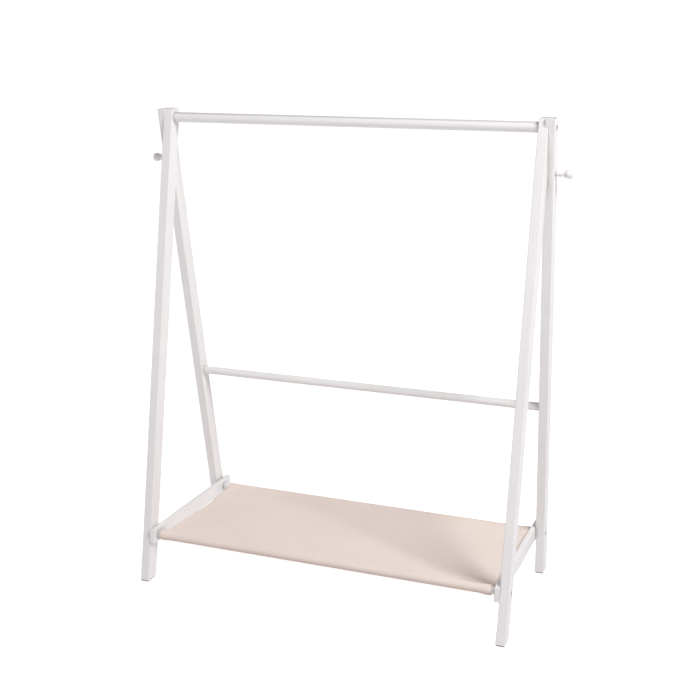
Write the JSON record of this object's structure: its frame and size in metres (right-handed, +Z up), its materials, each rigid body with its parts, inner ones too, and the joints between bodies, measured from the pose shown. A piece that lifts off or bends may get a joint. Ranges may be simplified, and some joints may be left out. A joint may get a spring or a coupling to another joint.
{
  "type": "clothes rack",
  "caption": "Child-size A-frame clothes rack of painted timber with a round hanging rail, a rear crossbar, side pegs and a canvas sling shelf.",
  "frame": {"origin": "on the floor, under the middle of the rack", "axes": "+Z up, +X along the hanging rail to the right-hand end, -Y to the front"},
  "size_m": [1.1296, 0.4792, 1.245],
  "materials": {
    "paint": "satin",
    "canvas": "matte",
    "steel": "satin",
    "insert": "satin",
    "glide": "matte"
  },
  "bodies": {
    "root": {"left_front_leg": "paint", "right_front_leg": "paint", "left_rear_leg": "paint", "right_rear_leg": "paint", "hanging_rail": "paint", "rear_crossbar": "paint", "left_shelf_rail": "paint", "right_shelf_rail": "paint", "front_shelf_dowel": "paint", "rear_shelf_dowel": "paint", "shelf_canvas": "canvas", "left_peg": "paint", "right_peg": "paint", "left_peg_stud": "steel", "right_peg_stud": "steel", "left_top_bolt": "steel", "right_top_bolt": "steel", "left_top_insert": "insert", "right_top_insert": "insert", "left_shelf_front_bolt": "steel", "right_shelf_front_bolt": "steel", "left_shelf_front_insert": "insert", "right_shelf_front_insert": "insert", "left_shelf_rear_bolt": "steel", "right_shelf_rear_bolt": "steel", "left_shelf_rear_insert": "insert", "right_shelf_rear_insert": "insert", "left_front_glide": "glide", "right_front_glide": "glide", "left_rear_glide": "glide", "right_rear_glide": "glide"}
  },
  "joints": []
}
